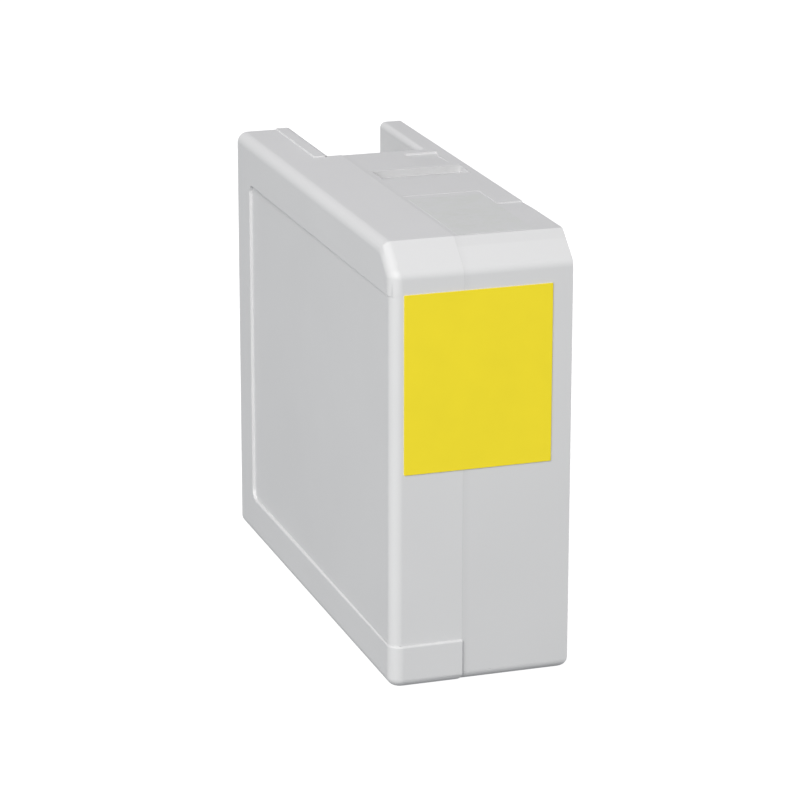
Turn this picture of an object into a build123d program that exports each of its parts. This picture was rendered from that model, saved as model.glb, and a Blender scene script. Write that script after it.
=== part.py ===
"""Printer ink cartridge: a two-part moulded case around an ink pouch, with an ink-end
sensor unit, a valved supply port, an air port and a memory board in the top rear notch.

Frame: millimetres, +Z up, front face towards -Y, origin under the middle of the case.
"""

from build123d import *
import math
import os

os.makedirs("parts", exist_ok=True)

# ---- Driving dimensions ------------------------------------------------------------
WIDTH = 30.0
BODY_DEPTH = 85.0
HEIGHT = 72.0
FOOT_PROUD = 0.35
FOOT_HEIGHT = 7.0
SEAM_X = -3.0
SEAM_GAP = 0.01
SEAM_SKIN = 0.5

LEFT = -WIDTH / 2
RIGHT = WIDTH / 2
BACK = (BODY_DEPTH + FOOT_PROUD) / 2
FRONT = BACK - BODY_DEPTH
FOOT_FRONT = FRONT - FOOT_PROUD

# Outer shape
BEVEL_RUN = 5.0
BEVEL_DROP = 4.25
BEVEL_LENGTH = math.hypot(BEVEL_RUN, BEVEL_DROP)
SIDE_RADIUS = 2.0
TOP_LEFT_RADIUS = 1.8
BOTTOM_RADIUS = 1.5
BOTTOM_RIGHT_RADIUS = 2.0

# Walls
SKIN = 1.5
BODY_TOP_WALL = 2.5
BEVEL_WALL = 1.45
INNER_WALL = 1.2
CLEAR = 0.1

# Recessed side panel, which leaves a frame of about seven millimetres. Its wall has draft,
# so the recess is deepest at the back.
PANEL_DEPTH = 0.52
PANEL_DEPTH_FRONT = 0.15
PANEL_LOW = FOOT_HEIGHT
PANEL_HIGH = 64.3
PANEL_BACK = FRONT + 78.0
PANEL_CORNER = 1.8

# Notch in the top rear edge
NOTCH_LEFT = LEFT + 9.85
NOTCH_RIGHT = LEFT + 26.2
NOTCH_FRONT = FRONT + 62.8
NOTCH_FLOOR = HEIGHT - 20.0
NOTCH_FRONT_WALL = 2.4
NOTCH_FRONT_LIP = 0.4
NOTCH_SIDE_LIP = 1.0
STRIP_WIDTH = 2.8
STRIP_HEIGHT = 0.2
STRIP_OVERRUN = 0.4
STRIP_SINK = 0.3

# Shallow features on top of the body
POCKET_LEFT = LEFT + 13.2
POCKET_RIGHT = LEFT + 28.7
POCKET_BACK = FRONT + 49.7
POCKET_FRONT = FRONT + 43.9
POCKET_DEPTH = 1.3
STEP_LEFT = LEFT + 22.2
STEP_RIGHT = LEFT + 28.2
STEP_BACK = FRONT + 60.2
STEP_SIDE = FRONT + 57.7
STEP_SLANT = 0.6
STEP_FRONT = FRONT + 51.5
STEP_DEPTH = 0.35
LABEL_AREA_LEFT = LEFT + 12.4
LABEL_AREA_BACK = FRONT + 31.6
LABEL_AREA_DEPTH = 0.05
TAB_LEFT = LEFT + 25.6
TAB_FRONT = FRONT + 23.0
TAB_RAMP = 5.0
TAB_DEPTH = 0.2

# Labels
LABEL_WIDTH = 24.45
LABEL_HEIGHT = 29.1
LABEL_LEFT = LEFT + 2.2
LABEL_LOW = 35.45
LABEL_THICK = 0.15
TOP_LABEL_THICK = 0.045

# Pouch chamber: its rim stands inside the cover and carries the sealing film
RIM_X = -11.0
RIM_FRONT = FRONT + 2.2
RIM_BACK = 14.0
RIM_LOW = 3.2
RIM_HIGH = 67.2
RIM_CORNER = 2.8
RIM_CORNER_SLOPE = 0.6
FILM_THICK = 0.2
FILM_INSET = 0.2
LEDGE = 1.5

# Ink pouch
PACK_X = 1.25
PACK_CENTRE_Y = -16.0
PACK_HALF_Y = 20.0
PACK_CENTRE_Z = 35.2
PACK_HALF_Z = 28.0
PACK_HALF_X = 10.0
WELD_THICK = 0.8
WELD_FRONT = -37.6
WELD_BACK = 8.4
WELD_LOW = 5.2
WELD_HIGH = 65.2
SPOUT_Z = 24.0

# Sensor unit
UNIT_LEFT = -2.5
UNIT_RIGHT = 7.5
UNIT_FRONT = 15.0
UNIT_BACK = 28.0
UNIT_LOW = 12.0
UNIT_HIGH = 34.0
CELL_Y = 21.5
CELL_Z = 24.0
CELL_RADIUS = 5.5
CELL_DEPTH = 3.5
MEMBRANE_THICK = 0.15
PLATE_RADIUS = 4.8
PLATE_THICK = 1.2
CUP_RADIUS = 6.4
CUP_WALL = 0.9
CUP_END_X = -9.7

# Ports on the rear face
PORT_X = 3.0
SUPPLY_Z = 18.0
SUPPLY_OUTER = 4.5
SUPPLY_BORE = 3.3
SUPPLY_NEEDLE_BORE = 1.7
CAP_THICK = 0.8
SEAL_LENGTH = 2.5
VALVE_LENGTH = 3.2
VALVE_CLEARANCE = 0.06
AIR_Z = 38.0
AIR_TUBE_RADIUS = 2.6
AIR_BORE = 0.9
AIR_BOSS_RADIUS = 4.4
AIR_SEAL_RADIUS = 3.4
AIR_SEAL_BORE = 1.3
GUIDE_LOW_Z = 7.0
GUIDE_HIGH_Z = 46.6
GUIDE_RADIUS = 2.0
GUIDE_SLOT_EXTRA = 1.5
GUIDE_DEPTH = 8.0
GUIDE_WALL = 1.2

# Memory board on the front wall of the notch
BOARD_X = 4.0
BOARD_WIDTH = 12.0
BOARD_LOW = 54.0
BOARD_HIGH = 66.0
BOARD_THICK = 0.7
BOARD_SINK = 0.1
BOARD_BACK = NOTCH_FRONT - BOARD_THICK - BOARD_SINK
PAD_WIDTH = 1.1
PAD_HEIGHT = 2.4
PAD_PITCH = 1.9
PAD_THICK = 0.06

# Coding key in the cover's rear wall
KEY_X = -9.0
KEY_WIDTH = 6.0
KEY_LOW = 14.0
KEY_HIGH = 44.0
KEY_RECESS = 1.1
KEY_FLANGE = 0.9
KEY_FLANGE_THICK = 1.2
KEY_RIB_THICK = 1.6
KEY_RIBS_Z = [18.0, 24.5, 36.0]

# Snap hooks and ribs of the cover
HOOK_Y = [FRONT + 14.0, FRONT + 44.0]
HOOK_WIDTH = 6.0
HOOK_THICK = 0.75
HOOK_REACH = 4.2
HOOK_ROOT = 5.0
BARB_HEIGHT = 0.7
BARB_LENGTH = 2.4
WINDOW_HEIGHT = 1.0
WINDOW_CLEAR = 0.3
RIB_THICK = 1.0
COVER_RIBS_Y = [FRONT + 20.0, FRONT + 38.0]

# Small features of the body
FOOT_TOP_RADIUS = 0.33
FOOT_CORNER_RADIUS = 1.2
AIR_BOSS_LENGTH = 5.5
AIR_SEAL_DEPTH = 3.0
AIR_SEAL_SINK = 0.3
SPOUT_RADIUS = 4.0
POST_RADIUS = 1.8
CHIP_X = 3.0
CHIP_Z = 60.0
CHIP_SIZE = 4.0
CHIP_THICK = 0.9
CHIP_CLEAR = 0.3
CHIP_BACK_CLEAR = 0.2
CHIP_EDGE = 0.2
TERMINAL_X = UNIT_RIGHT + 0.05
TERMINAL_THICK = 0.3
TERMINAL_WIDE = 1.0
TERMINAL_SPREAD = 1.5
TERMINAL_BEND_Z = 41.0
TERMINAL_FRONT_Y = 15.4
TERMINAL_BACK_Y = 17.1
TERMINAL_HIGH_Z = 62.8
TERMINAL_LOW_Z = 56.6
TERMINAL_CLEAR = 0.5
TERMINAL_WINDOW_LOW = BOARD_LOW + 1.0
TERMINAL_WINDOW_HIGH = BOARD_HIGH - 1.5
STUD_INSET = 1.6
STUDS_Z = [BOARD_LOW + STUD_INSET, BOARD_HIGH - STUD_INSET]
STUD_RADIUS = 0.6
STUD_CLEAR = 0.05
STUD_LENGTH = 1.5
STUD_HEAD_RADIUS = 1.1
STUD_HEAD_HEIGHT = 0.3
LABEL_CORNER = 0.15
TOP_LABEL_X = 4.1
TOP_LABEL_Y = FRONT + 17.5
TOP_LABEL_WIDTH = 12.6
TOP_LABEL_LENGTH = 24.0

# Small features of the pouch, spout and spacers
SOFT_CLEAR = 0.4
BOAT_FRONT = 3.0
BOAT_HALF_X = 3.0
BOAT_HALF_Z = 7.0
SPOUT_FLANGE_RADIUS = 5.0
SPOUT_FLANGE = 1.3
SPOUT_BORE = 1.5
SPOUT_SEAT_Y = 10.0
SPOUT_SEAL_RADIUS = 3.0
SPOUT_SEAL_LENGTH = 2.4
SPOUT_SEAL_EDGE = 0.3
SPACER_LENGTH = 8.0
SPACER_LOW = 12.0
SPACER_HIGH = 58.0
REAR_WEB = 1.6

# Small features of the sensor unit and the supply port
INLET_RADIUS = 1.7
INLET_BORE = 0.9
OUTLET_BORE = 1.0
SENSOR_SIZE = 6.0
SENSOR_THICK = 1.0
SENSOR_HOLE = 0.5
SENSOR_HOLE_PITCH = 3.0
PLATE_BOSS = 1.6
PLATE_BOSS_LENGTH = 0.8
PLATE_EDGE = 0.3
UNIT_CORNER = 1.5
CUP_EDGE = 0.8
VENT_OFFSET = 3.8
VENT_RADIUS = 0.5
SENSOR_SPRING_TURNS = 4.5
SENSOR_SPRING_RADIUS = 2.4
SENSOR_SPRING_WIRE = 0.4
PAD_UPPER_Z = 61.9
PAD_LOWER_Z = 58.1
CAP_BORE = 2.4
VALVE_HEAD = 1.0
FLUTE_RADIUS = 1.0
VALVE_STEM = 1.2
STEM_LENGTH = 2.0
SUPPLY_SPRING_RADIUS = 2.3
SUPPLY_SPRING_WIRE = 0.45
SUPPLY_SPRING_TURNS = 5.5
CAP_EDGE = 0.4
FLUTES = 4
SPRING_GAP = 0.02


def save(piece, name):
    """Name a finished piece and write it."""
    piece.part.label = name
    export_step(piece.part, "parts/" + name + ".step")


def bevel_inset_y(height, wall):
    """Y of the line that runs parallel to the bevel, one wall inside it."""
    above = height - (HEIGHT - BEVEL_DROP)
    return FRONT + (above * BEVEL_RUN + wall * BEVEL_LENGTH) / BEVEL_DROP


def bevel_inset_z(y, wall):
    """Height of the same line at a given Y."""
    return HEIGHT - BEVEL_DROP + ((y - FRONT) * BEVEL_DROP - wall * BEVEL_LENGTH) / BEVEL_RUN


def block(x0, x1, y0, y1, z0, z1, mode=Mode.ADD):
    """An upright block between two corners, in the active part."""
    with BuildSketch(Plane.XY.offset(z0)) as plan:
        with Locations(((x0 + x1) / 2, (y0 + y1) / 2)):
            Rectangle(x1 - x0, y1 - y0)
    extrude(plan.sketch, amount=z1 - z0, mode=mode)


def rod_y(x, z, radius, y0, y1, mode=Mode.ADD):
    """A round bar or hole along Y, in the active part."""
    with BuildSketch(Plane.XZ.offset(-y0)) as section:
        with Locations((x, z)):
            Circle(radius)
    extrude(section.sketch, amount=-(y1 - y0), mode=mode)


def disc_x(y, z, radius, x0, x1, mode=Mode.ADD):
    """A round bar or hole along X, in the active part."""
    with BuildSketch(Plane.YZ.offset(x0)) as section:
        with Locations((y, z)):
            Circle(radius)
    extrude(section.sketch, amount=x1 - x0, mode=mode)


def prism_x(points, x0, x1, mode=Mode.ADD):
    """A side-view polygon carried from x0 to x1, in the active part."""
    with BuildSketch(Plane.YZ.offset(x0)) as section:
        with BuildLine():
            Polyline(*points, close=True)
        make_face()
    extrude(section.sketch, amount=x1 - x0, mode=mode)


def is_foot_rim(edge):
    """The outer edges of the foot: its left side, its rounded upright and its front."""
    return edge.center().X < SEAM_X - 1 and edge.center().Y < PANEL_BACK - 1


def is_notch_lip(edge):
    """The top edge of the notch's front wall."""
    box = edge.bounding_box()
    on_front = abs(box.min.Y - NOTCH_FRONT) < 0.01 and abs(box.max.Y - NOTCH_FRONT) < 0.01
    return box.min.Z > HEIGHT - 0.01 and on_front


def is_notch_side(edge):
    """The top edge of one of the notch's side walls."""
    box = edge.bounding_box()
    on_right = abs(box.min.X - NOTCH_RIGHT) < 0.01 and abs(box.max.X - NOTCH_RIGHT) < 0.01
    on_left = abs(box.min.X - NOTCH_LEFT) < 0.01 and abs(box.max.X - NOTCH_LEFT) < 0.01
    return box.min.Z > HEIGHT - 0.01 and (on_right or on_left) and box.size.Y > 1


def cavity_outline(top, wall, front, back, low):
    """Side view of a hollow that follows the bevel inside the case."""
    return [
        (front, low),
        (back, low),
        (back, top),
        (bevel_inset_y(top, wall), top),
        (front, bevel_inset_z(front, wall)),
    ]


# ---- Outer envelope, shared by the two halves of the case --------------------------
with BuildPart() as envelope:
    prism_x(
        [
            (FRONT, 0),
            (BACK, 0),
            (BACK, HEIGHT),
            (FRONT + BEVEL_RUN, HEIGHT),
            (FRONT, HEIGHT - BEVEL_DROP),
        ],
        LEFT,
        RIGHT,
    )
    uprights = envelope.edges().filter_by(Axis.Z)
    fillet(uprights.group_by(Axis.Y)[0].sort_by(Axis.X)[0], radius=SIDE_RADIUS)
    bottom_edges = envelope.faces().sort_by(Axis.Z)[0].edges()
    fillet(
        bottom_edges.filter_by(lambda e: e.center().X < 5 and e.center().Y < 5),
        radius=BOTTOM_RADIUS,
    )
    with BuildSketch(Plane.XZ.offset(-BACK - 1)):
        with Locations((RIGHT - BOTTOM_RIGHT_RADIUS, BOTTOM_RIGHT_RADIUS)):
            Rectangle(5, 5, align=(Align.MIN, Align.MAX))
            Circle(BOTTOM_RIGHT_RADIUS, mode=Mode.SUBTRACT)
    extrude(amount=BODY_DEPTH + 2, mode=Mode.SUBTRACT)
    top_and_bevel = envelope.edges().filter_by(
        lambda e: e.center().Z > HEIGHT - BEVEL_DROP - 0.01
        and e.center().X < RIGHT - 1
        and e.center().Y < BACK - 1
        and not (e.center().Z > HEIGHT - 0.01 and e.center().X > LEFT + 1)
    )
    fillet(top_and_bevel, radius=TOP_LEFT_RADIUS)

# ---- Spaces cut from both halves ---------------------------------------------------
with BuildPart() as notch_space:
    block(NOTCH_LEFT, NOTCH_RIGHT, NOTCH_FRONT, BACK + 5, NOTCH_FLOOR, HEIGHT + 5)

with BuildPart() as notch_walls:
    block(
        NOTCH_LEFT - INNER_WALL,
        NOTCH_RIGHT + INNER_WALL,
        NOTCH_FRONT - NOTCH_FRONT_WALL,
        BACK + 5,
        NOTCH_FLOOR - INNER_WALL,
        HEIGHT + 5,
    )

with BuildPart() as body_cavity:
    prism_x(
        cavity_outline(HEIGHT - BODY_TOP_WALL, BEVEL_WALL, FRONT + SKIN, BACK - SKIN, SKIN),
        SEAM_X - 1,
        RIGHT - SKIN,
    )
    add(notch_walls.part, mode=Mode.SUBTRACT)

with BuildPart() as cover_cavity:
    prism_x(
        cavity_outline(HEIGHT - SKIN, BEVEL_WALL, FRONT + SKIN, BACK - SKIN, SKIN),
        LEFT + SKIN + PANEL_DEPTH,
        SEAM_X + 1,
    )
    add(notch_walls.part, mode=Mode.SUBTRACT)

# Where the side panel keeps its full depth; the recess runs out round the front edge.
with BuildPart() as panel_core:
    with BuildSketch(Plane.XY.offset(-1)):
        with BuildLine():
            Polyline(
                (LEFT + PANEL_DEPTH_FRONT, FRONT),
                (LEFT + PANEL_DEPTH, PANEL_BACK),
                (LEFT + PANEL_DEPTH, BACK),
                (0, BACK),
                (0, FRONT),
                close=True,
            )
        make_face()
    extrude(amount=HEIGHT + 2)
    core_uprights = panel_core.edges().filter_by(Axis.Z)
    fillet(
        core_uprights.group_by(Axis.Y)[0].sort_by(Axis.X)[0],
        radius=SIDE_RADIUS - PANEL_DEPTH_FRONT,
    )

# The recess passes behind the foot, which is added afterwards with its own rounded top.
with BuildPart() as panel_space:
    with BuildSketch(Plane.YZ.offset(LEFT - 1)):
        with BuildLine():
            start = (FRONT - 1, PANEL_LOW - 2)
            Polyline(
                start,
                (PANEL_BACK - PANEL_CORNER, PANEL_LOW - 2),
                (PANEL_BACK - PANEL_CORNER, PANEL_LOW),
            )
            RadiusArc(
                (PANEL_BACK - PANEL_CORNER, PANEL_LOW),
                (PANEL_BACK, PANEL_LOW + PANEL_CORNER),
                -PANEL_CORNER,
            )
            Line((PANEL_BACK, PANEL_LOW + PANEL_CORNER), (PANEL_BACK, PANEL_HIGH - PANEL_CORNER))
            RadiusArc(
                (PANEL_BACK, PANEL_HIGH - PANEL_CORNER),
                (PANEL_BACK - PANEL_CORNER, PANEL_HIGH),
                -PANEL_CORNER,
            )
            Polyline((PANEL_BACK - PANEL_CORNER, PANEL_HIGH), (FRONT - 1, PANEL_HIGH), start)
        make_face()
    extrude(amount=SEAM_X - LEFT + 1)
    add(panel_core.part, mode=Mode.SUBTRACT)

# ---- Side cover: the left part of the case -----------------------------------------


def hook_outline(wall_z, inwards):
    """Front view of a snap hook: a beam along a wall, with a barb near its end."""
    base_z = wall_z + inwards * CLEAR
    beam_z = base_z + inwards * HOOK_THICK
    tip_x = SEAM_X + HOOK_REACH
    return [
        (SEAM_X - HOOK_ROOT, base_z),
        (tip_x, base_z),
        (tip_x, beam_z),
        (tip_x - BARB_LENGTH, beam_z + inwards * BARB_HEIGHT),
        (tip_x - BARB_LENGTH, beam_z),
        (SEAM_X - HOOK_ROOT, beam_z),
    ]


with BuildPart() as foot:
    block(LEFT, SEAM_X, FOOT_FRONT, PANEL_BACK, 0, FOOT_HEIGHT)
    foot_uprights = foot.edges().filter_by(Axis.Z)
    fillet(
        foot_uprights.group_by(Axis.Y)[0].sort_by(Axis.X)[0],
        radius=SIDE_RADIUS + FOOT_PROUD / 2,
    )
    foot_bottom = foot.faces().sort_by(Axis.Z)[0].edges()
    fillet(foot_bottom.filter_by(is_foot_rim), radius=BOTTOM_RADIUS)
    foot_top = foot.faces().sort_by(Axis.Z)[-1].edges()
    fillet(foot_top.filter_by(is_foot_rim), radius=FOOT_TOP_RADIUS)
    # Rounded lower right corner of the foot, seen from the front
    with BuildSketch(Plane.XZ.offset(-PANEL_BACK - 1)):
        with Locations((SEAM_X - FOOT_CORNER_RADIUS, FOOT_CORNER_RADIUS)):
            Rectangle(5, 5, align=(Align.MIN, Align.MAX))
            Circle(FOOT_CORNER_RADIUS, mode=Mode.SUBTRACT)
    extrude(amount=PANEL_BACK - FOOT_FRONT + 2, mode=Mode.SUBTRACT)
    add(cover_cavity.part, mode=Mode.SUBTRACT)

with BuildPart() as side_cover:
    add(envelope.part)
    split(bisect_by=Plane.YZ.offset(SEAM_X), keep=Keep.BOTTOM)
    add(panel_space.part, mode=Mode.SUBTRACT)
    add(notch_space.part, mode=Mode.SUBTRACT)
    add(cover_cavity.part, mode=Mode.SUBTRACT)
    add(foot.part)
    # Raised strip along the top of the notch's left wall
    block(
        NOTCH_LEFT - STRIP_WIDTH,
        NOTCH_LEFT,
        NOTCH_FRONT - STRIP_OVERRUN,
        BACK,
        HEIGHT - STRIP_SINK,
        HEIGHT + STRIP_HEIGHT,
    )
    fillet(side_cover.edges().filter_by(is_notch_side), radius=NOTCH_SIDE_LIP)
    # Four snap hooks that pass through windows in the body's ledge
    for hook_y in HOOK_Y:
        for wall_z, inwards in ((SKIN, 1), (HEIGHT - BODY_TOP_WALL, -1)):
            with BuildSketch(Plane.XZ.offset(-hook_y - HOOK_WIDTH / 2)):
                with BuildLine():
                    Polyline(*hook_outline(wall_z, inwards), close=True)
                make_face()
            extrude(amount=HOOK_WIDTH)
    # Pads that carry the top hooks, and stiffening ribs on the inside of the side wall
    for hook_y in HOOK_Y:
        block(
            SEAM_X - HOOK_ROOT,
            SEAM_X,
            hook_y - HOOK_WIDTH / 2,
            hook_y + HOOK_WIDTH / 2,
            HEIGHT - BODY_TOP_WALL - CLEAR,
            HEIGHT - SKIN + CLEAR,
        )
        block(
            SEAM_X - HOOK_ROOT,
            SEAM_X,
            hook_y - HOOK_WIDTH / 2,
            hook_y + HOOK_WIDTH / 2,
            SKIN - CLEAR,
            SKIN + CLEAR,
        )
    for rib_y in COVER_RIBS_Y:
        block(
            LEFT + SKIN,
            RIM_X - FILM_THICK - CLEAR,
            rib_y - RIB_THICK / 2,
            rib_y + RIB_THICK / 2,
            RIM_LOW,
            RIM_HIGH,
        )
    # Opening in the rear wall for the coding key, with a rebate for its flange
    block(
        KEY_X - KEY_WIDTH / 2,
        KEY_X + KEY_WIDTH / 2,
        BACK - SKIN - 1,
        BACK + 1,
        KEY_LOW,
        KEY_HIGH,
        mode=Mode.SUBTRACT,
    )
save(side_cover, "side_cover")

# ---- Coding key: a ribbed block that tells one ink from another --------------------
with BuildPart() as coding_key:
    block(
        KEY_X - KEY_WIDTH / 2 + CLEAR,
        KEY_X + KEY_WIDTH / 2 - CLEAR,
        BACK - SKIN,
        BACK - KEY_RECESS,
        KEY_LOW + CLEAR,
        KEY_HIGH - CLEAR,
    )
    for rib_z in KEY_RIBS_Z:
        block(
            KEY_X - KEY_WIDTH / 2 + CLEAR,
            KEY_X + KEY_WIDTH / 2 - CLEAR,
            BACK - KEY_RECESS,
            BACK,
            rib_z - KEY_RIB_THICK / 2,
            rib_z + KEY_RIB_THICK / 2,
        )
    block(
        KEY_X - KEY_WIDTH / 2 - KEY_FLANGE,
        KEY_X + KEY_WIDTH / 2 + KEY_FLANGE,
        BACK - SKIN - KEY_FLANGE_THICK,
        BACK - SKIN,
        KEY_LOW - KEY_FLANGE,
        KEY_HIGH + KEY_FLANGE,
    )
save(coding_key, "coding_key")

# ---- Case body: the right part of the case, with the pouch chamber -----------------


def rim_outline(inset):
    """Side view of the chamber rim, whose top front corner clears the bevel."""
    front = RIM_FRONT + inset
    back = RIM_BACK - inset
    low = RIM_LOW + inset
    high = RIM_HIGH - inset
    corner = RIM_CORNER - inset * RIM_CORNER_SLOPE
    return [
        (front, low),
        (back, low),
        (back, high),
        (front + corner, high),
        (front, high - corner),
    ]


with BuildPart() as top_ramps:
    # Latch pocket: deepest at its back wall, rising to the top surface in front
    prism_x(
        [
            (POCKET_BACK, HEIGHT + 1),
            (POCKET_BACK, HEIGHT - POCKET_DEPTH),
            (POCKET_FRONT, HEIGHT),
            (POCKET_FRONT, HEIGHT + 1),
        ],
        POCKET_LEFT,
        POCKET_RIGHT,
    )
    # Dip in front of the tab at the right edge
    prism_x(
        [
            (TAB_FRONT, HEIGHT + 1),
            (TAB_FRONT, HEIGHT - TAB_DEPTH),
            (TAB_FRONT - TAB_RAMP, HEIGHT - LABEL_AREA_DEPTH),
            (TAB_FRONT - TAB_RAMP, HEIGHT + 1),
        ],
        TAB_LEFT,
        RIGHT + 1,
    )
    # Shallow label area, which leaves the tab standing
    block(
        LABEL_AREA_LEFT,
        TAB_LEFT,
        FRONT,
        LABEL_AREA_BACK,
        HEIGHT - LABEL_AREA_DEPTH,
        HEIGHT + 1,
    )
    block(
        LABEL_AREA_LEFT,
        RIGHT + 1,
        FRONT,
        TAB_FRONT,
        HEIGHT - LABEL_AREA_DEPTH,
        HEIGHT + 1,
    )

# Low step behind the pocket, whose right end is cut off at a slant
with BuildPart() as rear_step:
    with BuildSketch(Plane.XY.offset(HEIGHT - 1)):
        with BuildLine():
            Polyline(
                (STEP_LEFT, STEP_FRONT),
                (STEP_RIGHT - STEP_SLANT, STEP_FRONT),
                (STEP_RIGHT - STEP_SLANT, STEP_SIDE),
                (STEP_RIGHT, STEP_BACK),
                (STEP_LEFT, STEP_BACK),
                close=True,
            )
        make_face()
    extrude(amount=2)
    prism_x(
        [
            (STEP_BACK + 1, HEIGHT + 2),
            (STEP_BACK + 1, HEIGHT - STEP_DEPTH),
            (STEP_BACK, HEIGHT - STEP_DEPTH),
            (STEP_FRONT, HEIGHT),
            (STEP_FRONT - 1, HEIGHT),
            (STEP_FRONT - 1, HEIGHT + 2),
        ],
        STEP_LEFT - 1,
        RIGHT,
        mode=Mode.INTERSECT,
    )

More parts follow.
